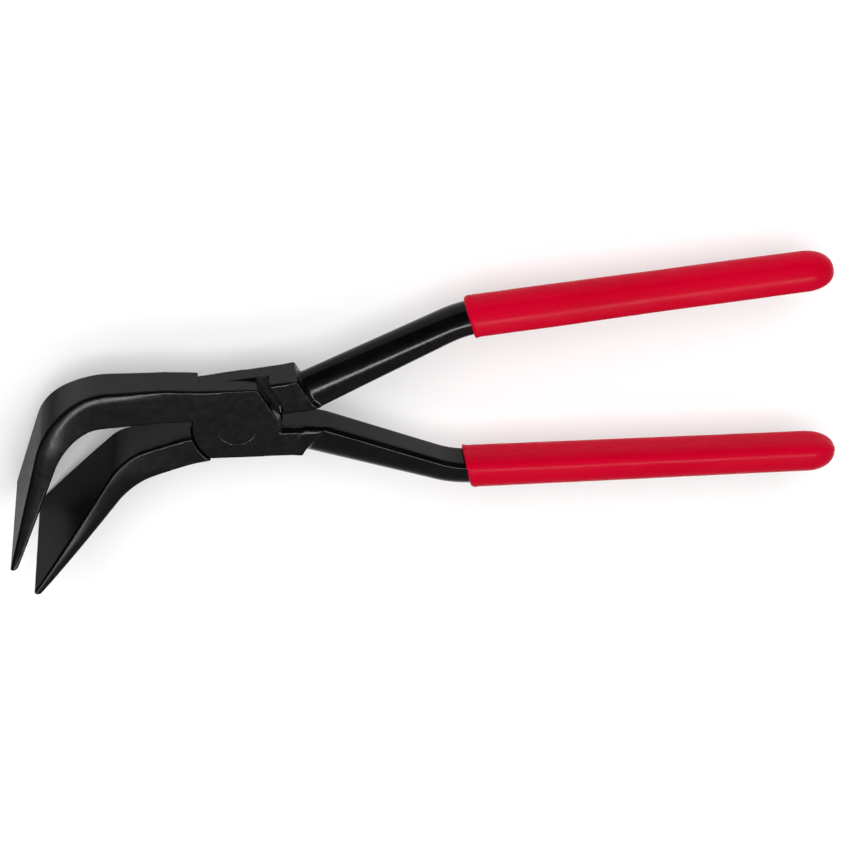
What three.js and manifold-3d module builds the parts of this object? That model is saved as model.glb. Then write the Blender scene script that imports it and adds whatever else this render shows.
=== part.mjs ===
// Bent-jaw seaming pliers: two forged arms crossed in a half-lap joint, a flush
// rivet through it and a dipped plastic sleeve on each handle. Millimetres.
//
// Each arm is drawn in its own closed position and turned about the pivot by half
// of the rest opening. +X runs along the handles, +Y towards the upper jaw's back,
// +Z along the pivot. The origin is on the pivot, at the joint's underside.

import * as THREE from "three";
import { mergeVertices } from "three/addons/utils/BufferGeometryUtils.js";
import Module from "manifold-3d";

// ---- driving dimensions ----------------------------------------------------

const JOINT_THICKNESS = 13.4;
const HALF = JOINT_THICKNESS / 2;
const LAP_GAP = 0.3; // between the two cheeks
const CHEEK_RADIUS = 15.2; // each cheek turns in a round pocket of the other arm
const SIDE_GAP = 0.3; // between a cheek and its pocket
const BLOCK_TOP = 14.4; // the joint's flat edges, measured from the pivot
const BLOCK_BOTTOM = -12.3;
const ROOT_CLEARANCE = 1.8; // half of the slot between the handles' roots when closed

const RIVET_RADIUS = 5;
const RIVET_HEAD_RADIUS = 6.8; // at the faces, where the rivet fills a countersink
const COUNTERSINK_DEPTH = 2;
const RIVET_CLEARANCE = 0.1;

const REST_OPENING = THREE.MathUtils.degToRad(7.4); // between the closed arms
const TIP_WIDTH = 57; // of both blades, along the pivot axis
const BLADE_SKEW = 0.0375; // the blades stand about 2 degrees off square

const GRIP_WALL = 1.3; // the plastic's thickness
const GRIP_GAP = 0.3; // between the plastic and the steel
const END_ROUNDING = 10; // length of the rounded end of a grip

const RIBS = 8; // sections along each stretch of a swept shape
const ROUND_SIDES = 32; // sides of a handle's section
const PIVOT_SIDES = 64;

// ---- solids ----------------------------------------------------------------

const wasm = await Module();
wasm.setup();

// A closed geometry as a solid that can be joined and cut.
function solid(geometry) {
  geometry.deleteAttribute("normal");
  geometry.deleteAttribute("uv");
  const merged = mergeVertices(geometry, 1e-4);
  return new wasm.Manifold(
    new wasm.Mesh({
      numProp: 3,
      vertProperties: merged.attributes.position.array,
      triVerts: new Uint32Array(merged.index.array),
    }),
  );
}

function geometryOf(shape) {
  const { vertProperties, triVerts } = shape.getMesh();
  const geometry = new THREE.BufferGeometry();
  geometry.setAttribute("position", new THREE.BufferAttribute(vertProperties, 3));
  geometry.setIndex(new THREE.BufferAttribute(triVerts, 1));
  geometry.computeVertexNormals();
  return geometry;
}

// A flat outline, thickened from one height to another along the pivot axis.
function plate(outline, low, high) {
  const geometry = new THREE.ExtrudeGeometry(outline, {
    depth: high - low,
    bevelEnabled: false,
    curveSegments: PIVOT_SIDES,
  });
  return solid(geometry.translate(0, 0, low));
}

function polygon(corners) {
  return new THREE.Shape(corners.map(([x, y]) => new THREE.Vector2(x, y)));
}

function disc(radius, low, high) {
  const circle = new THREE.Shape();
  circle.absarc(0, 0, radius, 0, 2 * Math.PI);
  return plate(circle, low, high);
}

// ---- swept shapes ----------------------------------------------------------

// A straight line, an arc and a straight line, with one unit of u along each.
function bentLine(start, corner, end, radius) {
  const from = new THREE.Vector2(...start);
  const turn = new THREE.Vector2(...corner);
  const to = new THREE.Vector2(...end);
  const before = turn.clone().sub(from).normalize();
  const after = to.clone().sub(turn).normalize();
  const angle = Math.atan2(before.cross(after), before.dot(after));
  const reach = radius * Math.tan(Math.abs(angle) / 2);
  const arcStart = turn.clone().addScaledVector(before, -reach);
  const arcEnd = turn.clone().addScaledVector(after, reach);
  const side = Math.sign(angle) * radius;
  const centre = new THREE.Vector2(-before.y, before.x).multiplyScalar(side).add(arcStart);
  return (u) => {
    if (u <= 1) return from.clone().lerp(arcStart, u);
    if (u >= 2) return arcEnd.clone().lerp(to, u - 2);
    return arcStart.clone().rotateAround(centre, angle * (u - 1));
  };
}

// The width of a jaw along the pivot axis, at a distance from its tip: a blade that
// narrows faster and faster, and blends into the neck.
function jawWidth(distance, neck, { taper, curve, blend }) {
  const blade = TIP_WIDTH - taper * distance - curve * distance ** 2;
  return (blade + neck + Math.hypot(blade - neck, blend)) / 2;
}

// A jaw between its lower and upper outlines, with a width for every section.
function jaw(below, above, widthAt) {
  const geometry = new THREE.BoxGeometry(3, 1, 1, 3 * RIBS, 1, 1);
  const position = geometry.attributes.position;
  for (let i = 0; i < position.count; i++) {
    const u = 1.5 - position.getX(i);
    const { x, y } = position.getY(i) < 0 ? below(u) : above(u);
    const z = position.getZ(i) * widthAt(u);
    const skew = BLADE_SKEW * THREE.MathUtils.smoothstep(u, 1, 2);
    position.setXYZ(i, x - skew * z, y, z);
  }
  return solid(geometry);
}

// The quarter points of a circle exactly, so that a section's seam closes.
function snapped(value) {
  return Math.abs(value) < 1e-6 ? 0 : value;
}

// A bar along a list of sections. Each has a centre, the direction of its outer
// side, half its width, its depth to the outer and the inner side, and how square
// each of the two sides is (2 is an ellipse, larger is boxier).
function bar(sections) {
  const last = sections.length - 1;
  const geometry = new THREE.CylinderGeometry(1, 1, 1, ROUND_SIDES, last);
  const position = geometry.attributes.position;
  for (let i = 0; i < position.count; i++) {
    const s = sections[Math.round((position.getY(i) + 0.5) * last)];
    const across = snapped(-position.getX(i) * Math.sign(s.normal.y));
    const along = snapped(position.getZ(i));
    const half = across > 0 ? s.outer : s.inner;
    const power = 2 / (across > 0 ? s.outerSquareness : s.innerSquareness);
    const v = Math.sign(across) * half * Math.abs(across) ** power;
    const z = Math.sign(along) * s.halfWidth * Math.abs(along) ** power;
    position.setXYZ(i, s.centre.x + v * s.normal.x, s.centre.y + v * s.normal.y, z);
  }
  return solid(geometry);
}

// ---- the handles -----------------------------------------------------------

// Both handles have a flat inner side with crisp edges and a round outer side.
const HANDLE_DEPTH = [12.8, 9.7, 9.5, 9.2]; // at u = 0, 1, 2, 3
const INNER_SHARE = 0.38; // of the depth, on the flat side of the centre

function tableAt(table, u) {
  const i = Math.min(Math.floor(u), table.length - 2);
  return THREE.MathUtils.lerp(table[i], table[i + 1], u - i);
}

// The section of a handle at u, grown by a margin all round.
function handleSection(handle, u, margin) {
  const step = 1e-3;
  const ahead = handle.line(u + step);
  const behind = handle.line(u - step);
  const along = ahead.sub(behind).normalize();
  const normal = new THREE.Vector2(-along.y, along.x).multiplyScalar(handle.side);
  const depth = tableAt(HANDLE_DEPTH, u);
  return {
    centre: handle.line(u),
    along,
    normal,
    halfWidth: tableAt(handle.widths, u) / 2 + margin,
    outer: (1 - INNER_SHARE) * depth + margin,
    inner: INNER_SHARE * depth + margin,
    outerSquareness: 2.2,
    innerSquareness: 9,
  };
}

function sectionsAlong(handle, from, to, count, margin) {
  return Array.from({ length: count + 1 }, (_, i) =>
    handleSection(handle, THREE.MathUtils.lerp(from, to, i / count), margin),
  );
}

// u where the handle's line passes a given x, on its arc or its last stretch.
function stationAt(handle, x) {
  const [arcStart, arcEnd, steelEnd] = [1, 2, 3].map((u) => handle.line(u).x);
  if (x < arcEnd) return 1 + (x - arcStart) / (arcEnd - arcStart);
  return 2 + (x - arcEnd) / (steelEnd - arcEnd);
}

function steelHandle(handle) {
  const middle = ROOT_CLEARANCE * handle.side;
  const otherSide = -40 * handle.side;
  const otherArmsSpace = polygon([
    [0, middle],
    [0, otherSide],
    [60, otherSide],
    [60, middle],
  ]);
  return bar([
    ...sectionsAlong(handle, 0, 1, RIBS, 0),
    ...sectionsAlong(handle, 1, 2, RIBS, 0).slice(1),
    handleSection(handle, 3, 0),
  ]).subtract(plate(otherArmsSpace, -HALF, HALF));
}

// The dipped sleeve: open at the slanted dip line, closed and rounded at the end.
function grip(handle) {
  const dip = stationAt(handle, handle.dipX);
  const tip = stationAt(handle, handle.endX);
  const roundFrom = stationAt(handle, handle.endX - END_ROUNDING);
  const margin = GRIP_WALL + GRIP_GAP;
  const outside = sectionsAlong(handle, dip, roundFrom, RIBS, margin);
  for (let i = 1; i <= RIBS; i++) {
    const angle = (0.46 * Math.PI * i) / RIBS;
    const section = handleSection(
      handle,
      THREE.MathUtils.lerp(roundFrom, tip, Math.sin(angle)),
      margin,
    );
    for (const size of ["halfWidth", "outer", "inner"]) section[size] *= Math.cos(angle);
    outside.push(section);
  }
  for (const section of outside) {
    section.outerSquareness = 2.3;
    section.innerSquareness = 3.4;
  }
  const bore = [
    ...sectionsAlong(handle, dip - 0.2, 2, 3, GRIP_GAP),
    handleSection(handle, 3, GRIP_GAP),
  ];
  bore[bore.length - 1].centre.x += GRIP_GAP;
  outside[0].normal.addScaledVector(outside[0].along, handle.dipSlant);
  return bar(outside).subtract(bar(bore));
}

// The line of a handle: out of the joint at an angle, then along +X.
function handleOf({ side, root, corner, end, rootWidth, dipX, dipSlant }) {
  const BEND_RADIUS = 35;
  const END_COVER = 8; // plastic beyond the steel's end
  const mirrored = ([x, y]) => [x, side * y];
  const steelEnd = [end[0] - END_COVER, end[1]];
  const points = [root, corner, steelEnd].map(mirrored);
  return {
    side,
    line: bentLine(...points, BEND_RADIUS),
    widths: [rootWidth, 12.4, 12.4, 11.4], // at u = 0, 1, 2, 3
    endX: end[0],
    dipX,
    dipSlant,
  };
}

// The outline of a handle's root, where it grows out of the joint.
function rootOutline(side) {
  const corners = [
    [0, ROOT_CLEARANCE],
    [16.4, ROOT_CLEARANCE],
    [28.3, 2.6],
    [26.2, 4.9],
    [22.2, side > 0 ? BLOCK_TOP : -BLOCK_BOTTOM],
    [0, side > 0 ? BLOCK_TOP : -BLOCK_BOTTOM],
  ];
  return polygon(corners.map(([x, y]) => [x, side * y]));
}

// ---- the lap joint ---------------------------------------------------------

// The cheek that one arm keeps at the joint: a round plate with flat edges. Its top
// edge runs on to a corner outside the circle, and slopes back to it from there.
function cheek(low, high, cornerX) {
  const side = Math.sign(cornerX);
  const shoulder = polygon([
    [0, 0],
    [CHEEK_RADIUS * side, 0],
    [cornerX, BLOCK_TOP],
    [0, BLOCK_TOP],
  ]);
  const flats = polygon([
    [-20 * side, BLOCK_BOTTOM],
    [20 * side, BLOCK_BOTTOM],
    [20 * side, 0],
    [CHEEK_RADIUS * side, 0],
    [cornerX, BLOCK_TOP],
    [-20 * side, BLOCK_TOP],
  ]);
  return disc(CHEEK_RADIUS, low, high)
    .add(plate(shoulder, low, high))
    .intersect(plate(flats, low, high));
}

// The pocket that one arm leaves for the other's cheek and its corner. It is wider
// towards the top edge, on the side of the arm's own full-thickness part there.
function pocket(low, high, relief) {
  return disc(CHEEK_RADIUS + SIDE_GAP, low, high).add(plate(polygon(relief), low, high));
}

function rivetShape(margin) {
  const reach = HALF + (margin > 0 ? 1 : 0);
  const flare = (reach - HALF) * ((RIVET_HEAD_RADIUS - RIVET_RADIUS) / COUNTERSINK_DEPTH);
  const profile = [
    [0, -reach],
    [RIVET_HEAD_RADIUS + flare + margin, -reach],
    [RIVET_RADIUS + margin, COUNTERSINK_DEPTH - HALF],
    [RIVET_RADIUS + margin, HALF - COUNTERSINK_DEPTH],
    [RIVET_HEAD_RADIUS + flare + margin, reach],
    [0, reach],
  ];
  const points = profile.map(([r, z]) => new THREE.Vector2(r, z));
  return solid(new THREE.LatheGeometry(points, PIVOT_SIDES).rotateX(Math.PI / 2));
}

// ---- the upper jaw's arm ---------------------------------------------------

function upperJawArm(handle) {
  const NECK_WIDTH = 15.2;
  const BLADE = { taper: 0.66, curve: 0.002, blend: 3 };
  const FROM_TIP = [94, 62.5, 35.5, 0]; // distances from the tip at u = 0, 1, 2, 3
  const inner = bentLine([-24, 2.3], [-56.4, 0.9], [-74.1, -40.4], 18);
  const outer = bentLine([-24, 15.1], [-62.4, 14.6], [-76.6, -41.1], 26);
  const widthAt = (u) => {
    const growth = THREE.MathUtils.smoothstep(u, 0, 1);
    const neck = THREE.MathUtils.lerp(JOINT_THICKNESS, NECK_WIDTH, growth);
    return jawWidth(tableAt(FROM_TIP, u), neck, BLADE);
  };
  const root = polygon([
    [0, 2.3],
    [0, BLOCK_TOP],
    [-12, 14.4],
    [-24, 15.1],
    [-24, 2.3],
  ]);
  const relief = [
    [0, -1],
    [-18.7, -1],
    [-18.7, 2.6],
    [-17.2, 7.7],
    [-14.4, 12.1],
    [-11.7, 14.7],
    [-11.7, BLOCK_TOP + 2],
    [0, BLOCK_TOP + 2],
  ];
  return jaw(inner, outer, widthAt)
    .add(plate(root, -HALF, HALF))
    .add(plate(rootOutline(handle.side), -HALF, HALF))
    .subtract(pocket(-HALF - 1, LAP_GAP / 2, relief))
    .add(cheek(LAP_GAP / 2, HALF, 6.9))
    .add(steelHandle(handle))
    .subtract(rivetShape(RIVET_CLEARANCE));
}

// ---- the lower jaw's arm ---------------------------------------------------

function lowerJawArm(handle) {
  const NECK_WIDTH = 15.8;
  const BLADE = { taper: 0.53, curve: 0.0032, blend: 6 };
  const FROM_TIP = [77, 59.5, 44.5, 0]; // distances from the tip at u = 0, 1, 2, 3
  const inner = bentLine([-16, -1.6], [-39.5, -3.6], [-75, -40.6], 18);
  const outer = bentLine([-16, -12.1], [-37.6, -14.5], [-73, -42], 24);
  const widthAt = (u) => {
    const growth = THREE.MathUtils.smoothstep(u, 0, 1);
    const neck = THREE.MathUtils.lerp(JOINT_THICKNESS, NECK_WIDTH, growth);
    return jawWidth(tableAt(FROM_TIP, u), neck, BLADE);
  };
  const root = polygon([
    [0, -1.6],
    [-16, -1.6],
    [-16, -12.1],
    [-10.9, -11.9],
    [0, -11.9],
  ]);
  const relief = [
    [0, 0],
    [16, 3.4],
    [15.2, 7.4],
    [13.4, 11.6],
    [12, BLOCK_TOP + 2],
    [0, BLOCK_TOP + 2],
  ];
  return jaw(outer, inner, widthAt)
    .add(plate(root, -HALF, HALF))
    .add(plate(rootOutline(handle.side), -HALF, HALF))
    .subtract(pocket(-LAP_GAP / 2, HALF + 1, relief))
    .add(cheek(-HALF, -LAP_GAP / 2, -11))
    .add(steelHandle(handle))
    .subtract(rivetShape(RIVET_CLEARANCE));
}

// ---- assembly --------------------------------------------------------------

const blackSteel = new THREE.MeshStandardMaterial({
  color: 0x17181a,
  roughness: 0.42,
  metalness: 0.6,
});
const redPlastic = new THREE.MeshStandardMaterial({
  color: 0xc40a26,
  roughness: 0.38,
  metalness: 0,
});

function named(name, shape, material) {
  const mesh = new THREE.Mesh(geometryOf(shape), material);
  mesh.name = name;
  return mesh;
}

const lowerHandle = handleOf({
  side: -1,
  root: [22, 3.6],
  corner: [75, 22.7],
  end: [209.4, 21.4],
  rootWidth: 13.2,
  dipX: 79.3,
  dipSlant: 0.28,
});
const upperHandle = handleOf({
  side: 1,
  root: [22, 4.4],
  corner: [80, 25.6],
  end: [206.5, 24.4],
  rootWidth: 11,
  dipX: 82.4,
  dipSlant: -0.08,
});

const armWithUpperJaw = new THREE.Group();
armWithUpperJaw.rotation.z = -REST_OPENING / 2;
armWithUpperJaw.add(
  named("upper_jaw_arm", upperJawArm(lowerHandle), blackSteel),
  named("lower_grip", grip(lowerHandle), redPlastic),
  named("pivot_rivet", rivetShape(0), blackSteel),
);

const armWithLowerJaw = new THREE.Group();
armWithLowerJaw.rotation.z = REST_OPENING / 2;
armWithLowerJaw.add(
  named("lower_jaw_arm", lowerJawArm(upperHandle), blackSteel),
  named("upper_grip", grip(upperHandle), redPlastic),
);

const pliers = new THREE.Group();
pliers.add(armWithUpperJaw, armWithLowerJaw);
pliers.position.z = HALF;

export default pliers;
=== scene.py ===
import math

import bmesh
import bpy
import numpy as np
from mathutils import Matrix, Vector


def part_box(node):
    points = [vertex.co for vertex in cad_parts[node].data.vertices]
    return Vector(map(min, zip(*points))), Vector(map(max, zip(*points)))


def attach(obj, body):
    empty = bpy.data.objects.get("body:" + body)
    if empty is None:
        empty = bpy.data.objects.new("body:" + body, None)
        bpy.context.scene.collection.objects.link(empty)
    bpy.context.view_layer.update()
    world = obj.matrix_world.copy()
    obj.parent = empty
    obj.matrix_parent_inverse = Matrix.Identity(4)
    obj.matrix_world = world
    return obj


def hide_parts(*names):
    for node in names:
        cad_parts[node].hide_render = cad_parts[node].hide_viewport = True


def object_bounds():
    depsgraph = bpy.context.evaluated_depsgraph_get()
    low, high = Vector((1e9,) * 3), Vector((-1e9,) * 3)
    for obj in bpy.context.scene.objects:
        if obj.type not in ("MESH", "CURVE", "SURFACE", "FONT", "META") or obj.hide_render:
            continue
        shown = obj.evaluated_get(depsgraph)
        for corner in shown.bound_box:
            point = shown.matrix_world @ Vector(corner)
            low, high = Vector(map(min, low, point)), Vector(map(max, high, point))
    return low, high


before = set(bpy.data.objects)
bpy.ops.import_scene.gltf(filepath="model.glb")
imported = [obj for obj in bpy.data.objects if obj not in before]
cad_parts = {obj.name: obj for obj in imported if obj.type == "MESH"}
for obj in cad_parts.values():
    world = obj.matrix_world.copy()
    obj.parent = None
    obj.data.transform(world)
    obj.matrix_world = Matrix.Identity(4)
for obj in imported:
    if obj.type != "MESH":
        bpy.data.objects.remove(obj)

import openvdb
from mathutils import Matrix, Vector

# The looks of a pair of bent-jaw pliers. The arms are modelled as distance
# fields, with every edge rounded and every crease filleted, and meshed from
# them. Shapes are worked out in millimetres, in each arm's closed position and
# with z measured from the joint's middle, then turned to the rest opening.

cad_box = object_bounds()
MM = 0.001

# ---- driving dimensions, as in the CAD part ----------------------------------

rivet_low, rivet_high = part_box("pivot_rivet")
HALF = (rivet_high.z - rivet_low.z) / MM / 2
TIP_WIDTH = (cad_box[1][2] - cad_box[0][2]) / MM
REST_OPENING = math.radians(7.4)
BLADE_SKEW = 0.0375
CHEEK_RADIUS = 15.2
POCKET_RADIUS = 15.5
BLOCK_TOP = 14.4
BLOCK_BOTTOM = -12.3
ROOT_CLEARANCE = 1.8
LAP = 0.08  # from the joint's middle to each cheek
RIVET_RADIUS = 5.0
RIVET_HEAD_RADIUS = 6.8
COUNTERSINK_DEPTH = 2.0
RIVET_GAP = 0.01  # all round the rivet
RIVET_SINK = 0.004  # from each cheek's face to the rivet's end

HANDLE_DEPTH = [12.8, 9.7, 9.5, 9.2]
INNER_SHARE = 0.38
HANDLE_BEND = 35
STEEL_POWERS = (2.2, 9)  # how square a handle's outer and inner sides are; 2 is an ellipse
GRIP_POWERS = (2.3, 3.4)  # the same for the plastic over it
GRIP_THICKNESS = 1.6  # from the steel to the outside of the plastic
END_COVER = 8
END_ROUNDING = 10

EDGE = 0.9  # how round the forged edges are
CROWN_REACH = 3.6  # how far the crowned band reaches in from a jaw's outer edge
CHAMFER = 1.2  # along the inner edges of the shanks and of their roots
RIM = 0.6  # how round the edges along the joint's circular groove are
CREASE = 1.6  # the fillet where a shank leaves the joint
CELL = 0.48  # the size of the mesh's faces


# ---- curves -------------------------------------------------------------------


def bent_line(start, corner, end, radius):
    """A straight line, an arc and a straight line, with one unit of u along each."""
    start, corner, end = (np.array(p, float) for p in (start, corner, end))
    before = (corner - start) / np.linalg.norm(corner - start)
    after = (end - corner) / np.linalg.norm(end - corner)
    angle = math.atan2(before[0] * after[1] - before[1] * after[0], before @ after)
    reach = radius * math.tan(abs(angle) / 2)
    arc_start, arc_end = corner - reach * before, corner + reach * after
    centre = arc_start + math.copysign(radius, angle) * np.array([-before[1], before[0]])

    def point(u):
        if u <= 1:
            return start + u * (arc_start - start)
        if u >= 2:
            return arc_end + (u - 2) * (end - arc_end)
        turn = angle * (u - 1)
        c, s = math.cos(turn), math.sin(turn)
        return centre + np.array([[c, -s], [s, c]]) @ (arc_start - centre)

    return point


def curve_points(line, lead_in=()):
    """Points along a bent line, after a few that lead into it, and u at each."""
    u = np.concatenate([[0.0], np.linspace(1, 2, 33), [3.0]])
    points = list(lead_in) + [line(v) for v in u]
    return np.array(points, float), np.concatenate([np.zeros(len(lead_in)), u])


def beside(points, values, x, y):
    """The distance to a line of points, positive on its left, and the value there.
    The first and the last stretch run on past their ends."""
    nearest = np.full(x.shape, np.inf)
    side = np.zeros(x.shape)
    value = np.zeros(x.shape)
    last = len(points) - 2
    for i, (a, b) in enumerate(zip(points[:-1], points[1:])):
        d = b - a
        t = ((x - a[0]) * d[0] + (y - a[1]) * d[1]) / (d @ d)
        t = np.clip(t, -np.inf if i == 0 else 0, np.inf if i == last else 1)
        squared = (x - a[0] - t * d[0]) ** 2 + (y - a[1] - t * d[1]) ** 2
        closer = squared < nearest
        nearest[closer] = squared[closer]
        left = d[0] * (y - a[1]) - d[1] * (x - a[0])
        side[closer] = np.sign(left[closer])
        value[closer] = (values[i] + t * (values[i + 1] - values[i]))[closer]
    return side * np.sqrt(nearest), value


class Plan:
    """Values over the XY plane, worked out once on a fine grid and looked up."""

    STEP = 0.25

    def __init__(self, low, high, function):
        self.low = np.array(low, float)
        nx, ny = (int((h - l) / self.STEP) + 2 for l, h in zip(low, high))
        x = self.low[0] + self.STEP * np.arange(nx)
        y = self.low[1] + self.STEP * np.arange(ny)
        self.tables = function(*np.meshgrid(x, y, indexing="ij"))

    def at(self, x, y):
        shape = self.tables[0].shape
        fx = np.clip((x - self.low[0]) / self.STEP, 0, shape[0] - 1.001)
        fy = np.clip((y - self.low[1]) / self.STEP, 0, shape[1] - 1.001)
        i, j = fx.astype(np.int32), fy.astype(np.int32)
        fx, fy = fx - i, fy - j
        k = i * shape[1] + j
        found = []
        for table in self.tables:
            t = table.ravel()
            near = t[k] * (1 - fy) + t[k + 1] * fy
            far = t[k + shape[1]] * (1 - fy) + t[k + shape[1] + 1] * fy
            found.append(near * (1 - fx) + far * fx)
        return found


# ---- distance fields: negative inside, positive outside -----------------------


def both(a, b, radius):
    """Inside a and inside b, with the edge between them rounded."""
    bent = np.hypot(np.maximum(a + radius, 0), np.maximum(b + radius, 0))
    return np.minimum(np.maximum(a, b), -radius) + bent


def either(a, b, radius):
    """Inside a or inside b, with the crease between them filleted."""
    return -both(-a, -b, radius)


def polygon_distance(corners, x, y):
    corners = np.array(corners, float)
    nearest = np.full(x.shape, np.inf)
    inside = np.zeros(x.shape, bool)
    for a, b in zip(corners, np.roll(corners, -1, axis=0)):
        d = b - a
        t = np.clip(((x - a[0]) * d[0] + (y - a[1]) * d[1]) / (d @ d), 0, 1)
        squared = (x - a[0] - t * d[0]) ** 2 + (y - a[1] - t * d[1]) ** 2
        nearest = np.minimum(nearest, squared)
        spans = (a[1] > y) != (b[1] > y)
        if d[1] != 0:
            inside ^= spans & (x < a[0] + (y - a[1]) * d[0] / d[1])
    return np.where(inside, -1.0, 1.0) * np.sqrt(nearest)


def smoothstep(value, low, high):
    t = np.clip((value - low) / (high - low), 0, 1)
    return t * t * (3 - 2 * t)


# ---- the jaws -------------------------------------------------------------------


def jaw_width(u, from_tip, neck, taper, curve, blend):
    """The width across a jaw: a blade that narrows faster and faster away from its
    tip, and blends into the neck."""
    distance = np.interp(u, range(4), from_tip)
    neck = 2 * HALF + (neck - 2 * HALF) * smoothstep(u, 0, 1)
    blade = TIP_WIDTH - taper * distance - curve * distance**2
    return (blade + neck + np.hypot(blade - neck, blend)) / 2


UPPER_JAW = {
    "side": 1,
    "inner": curve_points(
        bent_line((-24, 2.3), (-56.4, 0.9), (-74.1, -40.4), 18), [(0, 2.3)]
    ),
    "outer": curve_points(
        bent_line((-24, 15.1), (-62.4, 14.6), (-76.6, -41.1), 26),
        [(0, 14.4), (-12, 14.4)],
    ),
    "width": ((94, 62.5, 35.5, 0), 15.2, 0.66, 0.002, 3),
    "cheek_corner": 6.9,
    "relief": [(0, -1), (-18.7, -1), (-18.7, 2.6), (-17.2, 7.7), (-14.4, 12.1), (-11.7, 14.7)],
}
LOWER_JAW = {
    "side": -1,
    "inner": curve_points(
        bent_line((-16, -1.6), (-39.5, -3.6), (-75, -40.6), 18), [(0, -1.6)]
    ),
    "outer": curve_points(
        bent_line((-16, -12.1), (-37.6, -14.5), (-73, -42), 24),
        [(0, -11.9), (-10.9, -11.9)],
    ),
    "width": ((77, 59.5, 44.5, 0), 15.8, 0.53, 0.0032, 6),
    "cheek_corner": -11.0,
    "relief": [(0, 0), (16, 3.4), (15.2, 7.4), (13.4, 11.6), (12.4, 14.9)],
}


def blurred(table, cells):
    """A table averaged over a few cells each way, which softens its creases."""
    for axis in (0, 0, 1, 1):
        shifts = range(-cells, cells + 1, 2)
        table = sum(np.roll(table, k, axis) for k in shifts) / len(shifts)
    return table


def jaw_field(shape):
    side = shape["side"]
    inner_tip, outer_tip = shape["inner"][0][-1], shape["outer"][0][-1]
    across = (outer_tip - inner_tip) / np.linalg.norm(outer_tip - inner_tip)
    out = side * np.array([-across[1], across[0]])

    def tables(x, y):
        inner, u_inner = beside(*shape["inner"], x, y)
        outer, u_outer = beside(*shape["outer"], x, y)
        inner, outer = side * inner, -side * outer
        depth_in, depth_out = np.maximum(-inner, 0), np.maximum(-outer, 0)
        share = depth_in / np.maximum(depth_in + depth_out, 1e-6)
        share = np.where(inner > 0, 0, np.where(outer > 0, 1, share))
        u = u_inner + (u_outer - u_inner) * share
        tip = (x - inner_tip[0]) * out[0] + (y - inner_tip[1]) * out[1]
        half_width = blurred(jaw_width(u, *shape["width"]) / 2, 12)
        return inner, outer, tip, half_width, smoothstep(u, 1, 2)

    plan = Plan((-86, -50), (8, 24), tables)

    def field(x, y, z):
        lean = plan.at(x, y)[4]
        inner, outer, tip, half_width, _ = plan.at(x + BLADE_SKEW * lean * z, y)
        crown = 0.047 * smoothstep(-x, 16, 44) * np.maximum(outer + CROWN_REACH, 0) ** 2
        half_width = half_width - crown
        profile = both(both(inner, outer, EDGE), tip, EDGE)
        return both(both(profile, np.abs(z) - half_width, EDGE), x - 2, EDGE)

    return field


# ---- the handles -----------------------------------------------------------------


def handle_of(side, root, corner, end, root_width, dip_x, dip_slant):
    steel_end = (end[0] - END_COVER, end[1])
    points = [(x, side * y) for x, y in (root, corner, steel_end)]
    return {
        "side": side,
        "line": bent_line(*points, HANDLE_BEND),
        "widths": [root_width, 12.4, 12.4, 11.4],
        "dip_x": dip_x,
        "dip_slant": dip_slant,
        "end_x": end[0],
    }


LOWER_HANDLE = handle_of(-1, (22, 3.6), (75, 22.7), (209.4, 21.4), 13.2, 79.3, 0.28)
UPPER_HANDLE = handle_of(1, (22, 4.4), (80, 25.6), (206.5, 24.4), 11, 82.4, -0.08)


def handle_field(handle):
    points, values = curve_points(handle["line"])
    side = handle["side"]

    def tables(x, y):
        away, u = beside(points, values, x, y)
        return side * away, u

    ends = sorted([side * 0.0, side * 42.0])
    plan = Plan((0, ends[0] - 8), (210, ends[1] + 8), tables)

    def field(x, y, z):
        away, u = plan.at(x, y)
        knots = np.clip(u, 0, 3)
        depth = np.interp(knots, range(4), HANDLE_DEPTH)
        half_width = np.interp(knots, range(4), handle["widths"]) / 2
        wide = np.abs(z) / half_width
        out = np.maximum(away, 0) / ((1 - INNER_SHARE) * depth)
        back = np.maximum(-away, 0) / (INNER_SHARE * depth)
        outer_power, inner_power = STEEL_POWERS
        rounded = (out**outer_power + wide**outer_power) ** (1 / outer_power)
        flat = (back**inner_power + wide**inner_power) ** (1 / inner_power)
        section = (np.where(away > 0, rounded, flat) - 1) * half_width
        corner = np.abs(z) - half_width - away - INNER_SHARE * depth
        section = both(section, (corner + CHAMFER) / math.sqrt(2), 0.15)
        own_side = ROOT_CLEARANCE - side * y
        length = np.maximum((u - 3) * 115, -u * 50)
        return both(both(section, own_side, 0.4), length, 0.5)

    return field


# ---- the lap joint ----------------------------------------------------------------


def block_corners(side):
    edge = BLOCK_TOP if side > 0 else -BLOCK_BOTTOM
    corners = [
        (-2, ROOT_CLEARANCE),
        (16.4, ROOT_CLEARANCE),
        (28.3, 2.6),
        (26.2, 4.9),
        (22.2, edge),
        (-2, edge),
    ]
    return [(x, side * y) for x, y in corners]


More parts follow.
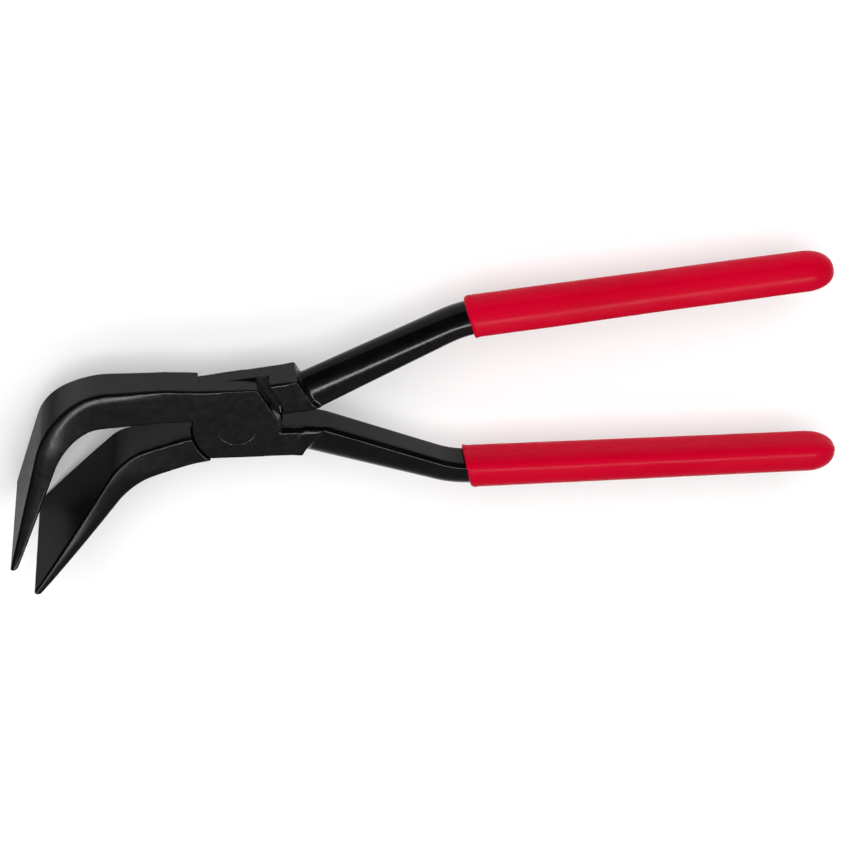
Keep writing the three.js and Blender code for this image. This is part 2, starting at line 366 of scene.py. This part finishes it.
def arm_field(jaw_shape, handle, near):
    """One arm. near is 1 where its cheek is the one nearer to +Z, or -1."""
    jaw, shank = jaw_field(jaw_shape), handle_field(handle)
    relief = jaw_shape["relief"]
    relief = relief + [(relief[-1][0], 17), (0, 17)]
    corner_x = jaw_shape["cheek_corner"]
    edge_x = math.copysign(CHEEK_RADIUS, corner_x)
    shoulder = [(0, -6), (0.9 * edge_x, -6), (edge_x, 0), (corner_x, 14.4), (0, 14.4)]
    slope = np.array([math.copysign(BLOCK_TOP, corner_x), abs(edge_x - corner_x)])
    slope /= np.linalg.norm(slope)

    def tables(x, y):
        block = polygon_distance(block_corners(handle["side"]), x, y)
        relieved = polygon_distance(relief, x, y)
        cheek = np.minimum(np.hypot(x, y) - CHEEK_RADIUS, polygon_distance(shoulder, x, y))
        sloped = (x - edge_x) * slope[0] + y * slope[1]
        return block, relieved, np.maximum(cheek, sloped)

    plan = Plan((-40, -24), (42, 26), tables)

    def field(x, y, z):
        block, relieved, round_cheek = plan.at(x, y)
        away = np.hypot(x, y)
        facing = near * z
        edge = EDGE - 0.65 * smoothstep(x, 18.5, 21.5)
        body = both(block, np.abs(z) - HALF, edge)
        corner = np.abs(z) - HALF + ROOT_CLEARANCE - handle["side"] * y
        body = both(body, (corner + CHAMFER) / math.sqrt(2), 0.15)
        body = np.minimum(jaw(x, y, z), body)
        pocket = either(away - POCKET_RADIUS, relieved, 1.0)
        body = np.minimum(both(body, -pocket, RIM), np.maximum(body, LAP - facing))
        flats = np.maximum(y - BLOCK_TOP, BLOCK_BOTTOM - y)
        cheek = both(round_cheek, flats, 0.3)
        cheek = np.maximum(both(cheek, facing - HALF, RIM), LAP - facing)
        body = np.minimum(body, cheek)
        return either(body, shank(x, y, z), CREASE)

    return field


# ---- from a field to a mesh ---------------------------------------------------------

BLOCK = 32  # cells along each side of the blocks that a field is sampled in
BAND = 3.0  # how far from the surface the grid's distances go


def sampled(field, low, high):
    """The field on a sparse grid, only in the blocks that its surface may cross."""
    grid = openvdb.FloatGrid(BAND)
    size = BLOCK * CELL
    probe = size * (np.arange(5) / 4)
    cell = CELL * np.arange(BLOCK)
    counts = [int(math.ceil((h - l) / size)) for l, h in zip(low, high)]
    for index in np.ndindex(*counts):
        corner = np.array(low) + size * np.array(index)
        px, py, pz = np.meshgrid(*(c + probe for c in corner), indexing="ij")
        if field(px, py, pz).min() > 0.55 * size:
            continue
        x, y, z = np.meshgrid(*(c + cell for c in corner), indexing="ij")
        values = np.clip(field(x, y, z), -BAND, BAND).astype(np.float32)
        grid.copyFromArray(values, ijk=tuple(BLOCK * i for i in index))
    return grid


def gradient(field, points):
    step = 0.02
    slopes = []
    for axis in np.eye(3) * step:
        slopes.append(field(*(points + axis).T) - field(*(points - axis).T))
    return np.stack(slopes, axis=1) / (2 * step)


def arm_mesh(name, field, low, high, turn):
    """An arm, from its field in a box, with its points pulled onto the true surface."""
    points, quads = sampled(field, low, high).convertToQuads()
    points = points * CELL + np.array(low)
    for _ in range(3):
        slope = gradient(field, points)
        steep = np.maximum((slope**2).sum(axis=1), 0.25)
        step = field(*points.T) / steep
        points = points - np.clip(step, -0.2, 0.2)[:, None] * slope
    normals = gradient(field, points)
    normals /= np.maximum(np.linalg.norm(normals, axis=1), 1e-9)[:, None]
    return mesh_object(name, turned(points, turn), quads, turned(normals, turn, False))


def turned(vectors, angle, placed=True):
    """Vectors turned about the pivot, and for points also moved up to the frame, in
    metres."""
    c, s = math.cos(angle), math.sin(angle)
    out = vectors @ np.array([[c, s, 0], [-s, c, 0], [0, 0, 1]])
    return (out + [0, 0, HALF]) * MM if placed else out


def mesh_object(name, points, faces, normals=None):
    mesh = bpy.data.meshes.new(name)
    mesh.from_pydata(points.tolist(), [], [tuple(int(i) for i in f) for f in faces])
    mesh.validate()
    edit = bmesh.new()
    edit.from_mesh(mesh)
    bmesh.ops.recalc_face_normals(edit, faces=edit.faces)
    edit.to_mesh(mesh)
    edit.free()
    mesh.shade_smooth()
    if normals is not None:
        mesh.normals_split_custom_set_from_vertices(normals.tolist())
    obj = bpy.data.objects.new(name, mesh)
    bpy.context.scene.collection.objects.link(obj)
    return obj


upper_arm = arm_mesh(
    "upper_jaw_arm_forging",
    arm_field(UPPER_JAW, LOWER_HANDLE, 1),
    (-84, -46, -32),
    (204, 20, 32),
    -REST_OPENING / 2,
)
lower_arm = arm_mesh(
    "lower_jaw_arm_forging",
    arm_field(LOWER_JAW, UPPER_HANDLE, -1),
    (-80, -48, -32),
    (202, 38, 32),
    REST_OPENING / 2,
)

# ---- the rivet ----------------------------------------------------------------------


def lathe(name, profile, sides=128):
    """A closed solid turned about the pivot, from (radius, z) points; it starts and
    ends on the axis."""
    edit = bmesh.new()
    rings = []
    for radius, z in profile:
        if radius == 0:
            rings.append([edit.verts.new((0, 0, (z + HALF) * MM))])
            continue
        angles = 2 * math.pi * np.arange(sides) / sides
        ring = [(radius * math.cos(a), radius * math.sin(a), z + HALF) for a in angles]
        rings.append([edit.verts.new(Vector(p) * MM) for p in ring])
    for low, high in zip(rings[:-1], rings[1:]):
        for i in range(sides):
            corners = [low[i % len(low)], low[(i + 1) % len(low)]]
            corners += [high[(i + 1) % len(high)], high[i % len(high)]]
            edit.faces.new(list(dict.fromkeys(corners)))
    bmesh.ops.recalc_face_normals(edit, faces=edit.faces)
    mesh = bpy.data.meshes.new(name)
    edit.to_mesh(mesh)
    edit.free()
    mesh.shade_smooth()
    mesh.set_sharp_from_angle(angle=math.radians(40))
    obj = bpy.data.objects.new(name, mesh)
    bpy.context.scene.collection.objects.link(obj)
    return obj


def rivet_radii(gap, reach):
    """The rivet's radii where it ends, at a height, and at its shank. A gap grows
    both, for the hole."""
    flare = (RIVET_HEAD_RADIUS - RIVET_RADIUS) / COUNTERSINK_DEPTH
    head = RIVET_HEAD_RADIUS + gap + flare * (reach - HALF)
    neck = RIVET_RADIUS + gap
    return head, neck


def rivet_hole():
    reach = HALF + 1
    head, neck = rivet_radii(RIVET_GAP, reach)
    low = [(0, -reach), (head, -reach), (neck, COUNTERSINK_DEPTH - HALF)]
    return lathe("rivet_hole", low + [(r, -z) for r, z in reversed(low)])


def rivet():
    """Both ends are ground flush."""
    top = HALF - RIVET_SINK
    head, neck = rivet_radii(0, top)
    end = [(0, top), (head, top), (neck, HALF - COUNTERSINK_DEPTH)]
    return lathe("flush_rivet", end + [(r, -z) for r, z in reversed(end)])


def cut(obj, cutter):
    boolean = obj.modifiers.new("cut", "BOOLEAN")
    boolean.operation = "DIFFERENCE"
    boolean.solver = "MANIFOLD"
    boolean.object = cutter
    bpy.context.view_layer.update()
    graph = bpy.context.evaluated_depsgraph_get()
    mesh = bpy.data.meshes.new_from_object(obj.evaluated_get(graph))
    obj.modifiers.remove(boolean)
    obj.data = mesh


hole = rivet_hole()
cut(upper_arm, hole)
cut(lower_arm, hole)
bpy.data.objects.remove(hole)
pivot = rivet()

# ---- the dipped grips ----------------------------------------------------------------


def handle_section(handle, u, margin):
    step = 1e-3
    line = handle["line"]
    along = line(u + step) - line(u - step)
    along /= np.linalg.norm(along)
    knots = min(max(u, 0), 3)
    extra = u - knots
    depth = np.interp(knots, range(4), HANDLE_DEPTH)
    depth += extra * (HANDLE_DEPTH[3] - HANDLE_DEPTH[2])
    width = np.interp(knots, range(4), handle["widths"])
    width += extra * (handle["widths"][3] - handle["widths"][2])
    return {
        "centre": line(u),
        "along": along,
        "normal": handle["side"] * np.array([-along[1], along[0]]),
        "half": width / 2 + margin,
        "outer": (1 - INNER_SHARE) * depth + margin,
        "inner": INNER_SHARE * depth + margin,
    }


GRIP_SIDES = 112


def ring(section, outer_power, inner_power):
    """One turn of points around a handle, for an outer side that is nearly elliptic
    and an inner side that is flatter."""
    angle = 2 * math.pi * np.arange(GRIP_SIDES) / GRIP_SIDES
    across, beside_it = np.cos(angle), np.sin(angle)
    power = 2 / np.where(across > 0, outer_power, inner_power)
    reach = np.where(across > 0, section["outer"], section["inner"])
    v = np.sign(across) * reach * np.abs(across) ** power
    z = np.sign(beside_it) * section["half"] * np.abs(beside_it) ** power
    xy = section["centre"] + v[:, None] * section["normal"]
    return np.column_stack([xy, z])


def ripple(points, seed):
    """The slight unevenness of a dipped coat, in millimetres."""
    rng = np.random.default_rng(seed)
    height = np.zeros(len(points))
    for wavelength, size in ((46, 0.09), (27, 0.06), (15, 0.035), (9, 0.018)):
        for _ in range(3):
            direction = rng.normal(size=3) * (0.6, 1, 1)
            direction /= np.linalg.norm(direction)
            phase = rng.uniform(0, 2 * math.pi)
            height += size / 3 * np.sin(points @ direction * 2 * math.pi / wavelength + phase)
    return height


def grip(name, handle, turn, seed):
    stations = np.linspace(1, 3.2, 1200)
    places = [handle["line"](u)[0] for u in stations]
    dip, end = handle["dip_x"], handle["end_x"]
    round_from = end - END_ROUNDING
    skin, lip = 0.05, 1.5

    def section_at(x, margin):
        section = handle_section(handle, np.interp(x, places, stations), margin)
        slant = handle["dip_slant"] * (1 - smoothstep(x, dip, dip + 18))
        section["normal"] = section["normal"] + slant * section["along"]
        return section

    rings = []
    for x in np.linspace(end - END_COVER + 0.3, dip, 40):  # the bore, from its blind end
        rings.append((ring(section_at(x, skin), *STEEL_POWERS), 0.0))
    for angle in np.linspace(0.12, 0.5, 9) * math.pi:  # the lip at the dip line
        margin = skin + (GRIP_THICKNESS - skin) * math.sin(angle) ** 0.8
        section = section_at(dip + lip * (1 - math.cos(angle)), margin)
        blunt = math.sin(angle)
        powers = [a + (b - a) * blunt for a, b in zip(STEEL_POWERS, GRIP_POWERS)]
        rings.append((ring(section, *powers), 0.3 * blunt))
    for x in np.linspace(dip + lip, round_from, 190)[1:]:
        rings.append((ring(section_at(x, GRIP_THICKNESS), *GRIP_POWERS), 1.0))
    for angle in np.linspace(0, 0.5, 30)[1:-1] * math.pi:  # the rounded end
        section = section_at(round_from + END_ROUNDING * math.sin(angle), GRIP_THICKNESS)
        for size in ("half", "outer", "inner"):
            section[size] *= math.cos(angle) ** 0.86
        rings.append((ring(section, *GRIP_POWERS), math.cos(angle)))

    points = np.concatenate([r for r, _ in rings])
    centres = np.repeat([r.mean(axis=0) for r, _ in rings], GRIP_SIDES, axis=0)
    weight = np.repeat([w for _, w in rings], GRIP_SIDES)
    outward = points - centres
    outward /= np.maximum(np.linalg.norm(outward, axis=1), 1e-9)[:, None]
    height = ripple(points, seed) - 0.12
    points += (np.where(weight > 0, weight, 0) * height)[:, None] * outward

    faces = []
    for r in range(len(rings) - 1):
        a, b = r * GRIP_SIDES, (r + 1) * GRIP_SIDES
        for i in range(GRIP_SIDES):
            j = (i + 1) % GRIP_SIDES
            faces.append((a + i, a + j, b + j, b + i))
    last = (len(rings) - 1) * GRIP_SIDES
    tip = section_at(end, 0)["centre"]
    blind = points[:GRIP_SIDES].mean(axis=0)
    points = np.vstack([points, [*tip, 0], blind])
    for i in range(GRIP_SIDES):
        j = (i + 1) % GRIP_SIDES
        faces.append((last + i, last + j, len(points) - 2))
        faces.append((j, i, len(points) - 1))
    return mesh_object(name, turned(points, turn), faces)


lower_grip = grip("lower_dipped_grip", LOWER_HANDLE, -REST_OPENING / 2, 3)
upper_grip = grip("upper_dipped_grip", UPPER_HANDLE, REST_OPENING / 2, 8)

# ---- materials ------------------------------------------------------------------------


class Nodes:
    """A short way to lay out a material's nodes."""

    def __init__(self, name):
        self.material = bpy.data.materials.new(name)
        self.material.use_nodes = True
        self.tree = self.material.node_tree
        self.shader = self.tree.nodes["Principled BSDF"]
        coordinates = self.new("ShaderNodeTexCoord")
        self.position = coordinates.outputs["Object"]
        self.normal = coordinates.outputs["Normal"]

    def new(self, kind, **settings):
        node = self.tree.nodes.new(kind)
        for key, value in settings.items():
            setattr(node, key, value)
        return node

    def link(self, output, socket):
        self.tree.links.new(output, socket)

    def noise(self, size, detail=3.0, roughness=0.5, stretch=(1, 1, 1)):
        """Noise from 0 to 1 with features of about a given size, in metres."""
        mapping = self.new("ShaderNodeMapping")
        mapping.inputs["Scale"].default_value = stretch
        self.link(self.position, mapping.inputs["Vector"])
        noise = self.new("ShaderNodeTexNoise")
        noise.inputs["Scale"].default_value = 1 / size
        noise.inputs["Detail"].default_value = detail
        noise.inputs["Roughness"].default_value = roughness
        self.link(mapping.outputs["Vector"], noise.inputs["Vector"])
        return noise.outputs["Fac"]

    def ranged(self, value, low, high, to_low, to_high):
        node = self.new("ShaderNodeMapRange", interpolation_type="SMOOTHSTEP")
        sizes = {"From Min": low, "From Max": high, "To Min": to_low, "To Max": to_high}
        for key, number in sizes.items():
            node.inputs[key].default_value = number
        self.link(value, node.inputs["Value"])
        return node.outputs["Result"]

    def mixed(self, factor, a, b):
        node = self.new("ShaderNodeMix", data_type="RGBA")
        self.link(factor, node.inputs["Factor"])
        for socket, value in ((node.inputs["A"], a), (node.inputs["B"], b)):
            if isinstance(value, tuple):
                socket.default_value = (*value, 1)
            else:
                self.link(value, socket)
        return node.outputs["Result"]

    def math(self, operation, a, b):
        node = self.new("ShaderNodeMath", operation=operation)
        for socket, value in zip(node.inputs, (a, b)):
            if isinstance(value, (int, float)):
                socket.default_value = value
            else:
                self.link(value, socket)
        return node.outputs["Value"]

    def bump(self, height, distance, strength=1.0, under=None):
        node = self.new("ShaderNodeBump")
        node.inputs["Distance"].default_value = distance
        node.inputs["Strength"].default_value = strength
        self.link(height, node.inputs["Height"])
        if under is not None:
            self.link(under, node.inputs["Normal"])
        return node.outputs["Normal"]


def black_steel(name, glossy_shank):
    """A thin black coating on forged steel: satin on the jaws and the joint, and glossier on the
    shanks. Faces that turn away from the handles get a weaker shine, set by which way they face,
    which paints shade onto them, and a little of it is given back on the blades' outermost faces;
    those outer faces, which turn furthest, are also rougher."""
    n = Nodes(name)
    patches = n.noise(0.011, 4.0, 0.6)
    grain = n.noise(0.0007, 2.0, 0.6)
    pits = n.noise(0.0026, 3.0, 0.65)
    n.link(
        n.mixed(n.ranged(patches, 0.35, 0.7, 0, 1), (0.001, 0.001, 0.0011), (0.0024, 0.0024, 0.0023)),
        n.shader.inputs["Base Color"],
    )
    satin = n.ranged(pits, 0.3, 0.75, 0.20, 0.27)
    if glossy_shank:
        axes = n.new("ShaderNodeSeparateXYZ")
        n.link(n.position, axes.inputs["Vector"])
        onto_shank = n.ranged(axes.outputs["X"], 0.022, 0.03, 0, 1)
        smoother = n.math("MULTIPLY", onto_shank, -0.08)
        satin = n.math("ADD", satin, smoother)
    facing_out = n.new("ShaderNodeSeparateXYZ")
    n.link(n.normal, facing_out.inputs["Vector"])
    turn = facing_out.outputs["X"]  # -1 on a face that turns right away from the handles
    rougher = n.ranged(turn, -0.97, -0.78, 0.17, 0)
    n.link(n.math("ADD", satin, rougher), n.shader.inputs["Roughness"])
    # painted shade: the shine is set by which way a face turns, weaker on faces turned away from the
    # handles and a little stronger again on the blades' outermost faces
    shine_painted_by_facing = n.ranged(turn, -0.72, -0.3, 0.03, 0.5)
    outer_faces_painted_shine = n.ranged(turn, -0.92, -0.84, 0.07, 0)
    n.link(n.math("ADD", shine_painted_by_facing, outer_faces_painted_shine), n.shader.inputs["Specular IOR Level"])
    n.shader.inputs["IOR"].default_value = 1.2
    rough = n.bump(grain, 0.00003, 0.35)
    n.link(n.bump(pits, 0.00006, 0.3, rough), n.shader.inputs["Normal"])
    return n.material


def red_plastic(name):
    """Dipped soft plastic: an even crimson with a soft shine and faint flow marks."""
    n = Nodes(name)
    clouds = n.noise(0.03, 3.0, 0.5, (0.35, 1, 1))
    flow = n.noise(0.006, 3.0, 0.55, (0.25, 1, 1))
    fine = n.noise(0.0009, 2.0, 0.5)
    n.link(
        n.mixed(n.ranged(clouds, 0.3, 0.7, 0, 1), (0.43, 0.0003, 0.014), (0.48, 0.0004, 0.018)),
        n.shader.inputs["Base Color"],
    )
    n.link(n.ranged(flow, 0.3, 0.7, 0.22, 0.34), n.shader.inputs["Roughness"])
    n.shader.inputs["IOR"].default_value = 1.1
    n.shader.inputs["Subsurface Weight"].default_value = 0.08
    n.shader.inputs["Subsurface Radius"].default_value = (0.0012, 0.0003, 0.0003)
    soft = n.bump(flow, 0.00025, 0.5)
    n.link(n.bump(fine, 0.00002, 0.25, soft), n.shader.inputs["Normal"])
    return n.material


def finish(obj, material, body, node):
    obj.data.materials.clear()
    obj.data.materials.append(material)
    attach(obj, body)
    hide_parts(node)


steel = black_steel("black_forged_steel", True)
rivet_steel = black_steel("black_rivet_steel", False)
plastic = red_plastic("red_dipped_plastic")
finish(upper_arm, steel, "upper_jaw_side", "upper_jaw_arm")
finish(lower_arm, steel, "lower_jaw_side", "lower_jaw_arm")
finish(pivot, rivet_steel, "upper_jaw_side", "pivot_rivet")
finish(upper_grip, plastic, "lower_jaw_side", "upper_grip")
finish(lower_grip, plastic, "upper_jaw_side", "lower_grip")

# ---- camera -------------------------------------------------------------------------

AIM = Vector((64.8, -10.9, HALF)) * MM
CAMERA_AZIMUTH = math.radians(98.0)
CAMERA_ELEVATION = math.radians(57.24)
CAMERA_DISTANCE = 1.0277
CAMERA_UP = Vector((0.0355, 1, 0))
LENS = 126.5
SENSOR_WIDTH = 36


def direction(azimuth, elevation):
    flat = math.cos(elevation)
    return Vector((flat * math.cos(azimuth), flat * math.sin(azimuth), math.sin(elevation)))


def facing(place, target, up):
    """The matrix of a camera or light at a place, looking at a target."""
    back = (place - target).normalized()
    right = up.cross(back).normalized()
    turn = Matrix((right, back.cross(right), back)).transposed()
    return Matrix.Translation(place) @ turn.to_4x4()


camera = bpy.data.objects.new("camera", bpy.data.cameras.new("camera"))
camera.data.lens = LENS
camera.data.sensor_width = SENSOR_WIDTH
camera.data.clip_start = 0.05
place = AIM + CAMERA_DISTANCE * direction(CAMERA_AZIMUTH, CAMERA_ELEVATION)
camera.matrix_world = facing(place, AIM, CAMERA_UP)
bpy.context.scene.collection.objects.link(camera)
bpy.context.scene.camera = camera

# ---- floor and light -----------------------------------------------------------------

floor_mesh = bpy.data.meshes.new("floor")
edit = bmesh.new()
bmesh.ops.create_grid(edit, x_segments=1, y_segments=1, size=6)
edit.to_mesh(floor_mesh)
edit.free()
floor = bpy.data.objects.new("floor", floor_mesh)
floor.location.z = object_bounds()[0][2]
bpy.context.scene.collection.objects.link(floor)
paper = bpy.data.materials.new("white_paper")
paper.use_nodes = True
paper.node_tree.nodes["Principled BSDF"].inputs["Base Color"].default_value = (0.9, 0.9, 0.9, 1)
paper.node_tree.nodes["Principled BSDF"].inputs["Roughness"].default_value = 0.9
floor_mesh.materials.append(paper)


def area_light(name, place, size, power):
    light = bpy.data.lights.new(name, "AREA")
    light.shape = "RECTANGLE"
    light.size, light.size_y = size
    light.energy = power
    obj = bpy.data.objects.new(name, light)
    obj.matrix_world = facing(Vector(place), AIM, Vector((0, 0, 1)))
    bpy.context.scene.collection.objects.link(obj)
    return obj


# A narrow strip that only shows as a shine, and a softbox that only fills.
strip = area_light("strip_overhead", (0.05, -0.32, 1.5), (1.8, 0.22), 45)
strip.visible_diffuse = False
fill = area_light("softbox_beside_camera", (0.02, 0.95, 1.5), (1.6, 1.6), 38)
fill.visible_glossy = False
world = bpy.data.worlds.new("world")
bpy.context.scene.world = world
world.use_nodes = True
sky = world.node_tree
towards = sky.nodes.new("ShaderNodeTexCoord").outputs["Generated"]
split = sky.nodes.new("ShaderNodeSeparateXYZ")
shade = sky.nodes.new("ShaderNodeMapRange")  # white all round, darker behind the camera
for name, value in {"From Min": 0, "From Max": 0.4, "To Min": 0.7, "To Max": 0.1}.items():
    shade.inputs[name].default_value = value
sky.links.new(towards, split.inputs["Vector"])
sky.links.new(split.outputs["Y"], shade.inputs["Value"])
sky.links.new(shade.outputs["Result"], sky.nodes["Background"].inputs["Strength"])
sky.nodes["Background"].inputs["Color"].default_value = (1, 1, 1, 1)
bpy.context.scene.view_settings.view_transform = "Standard"
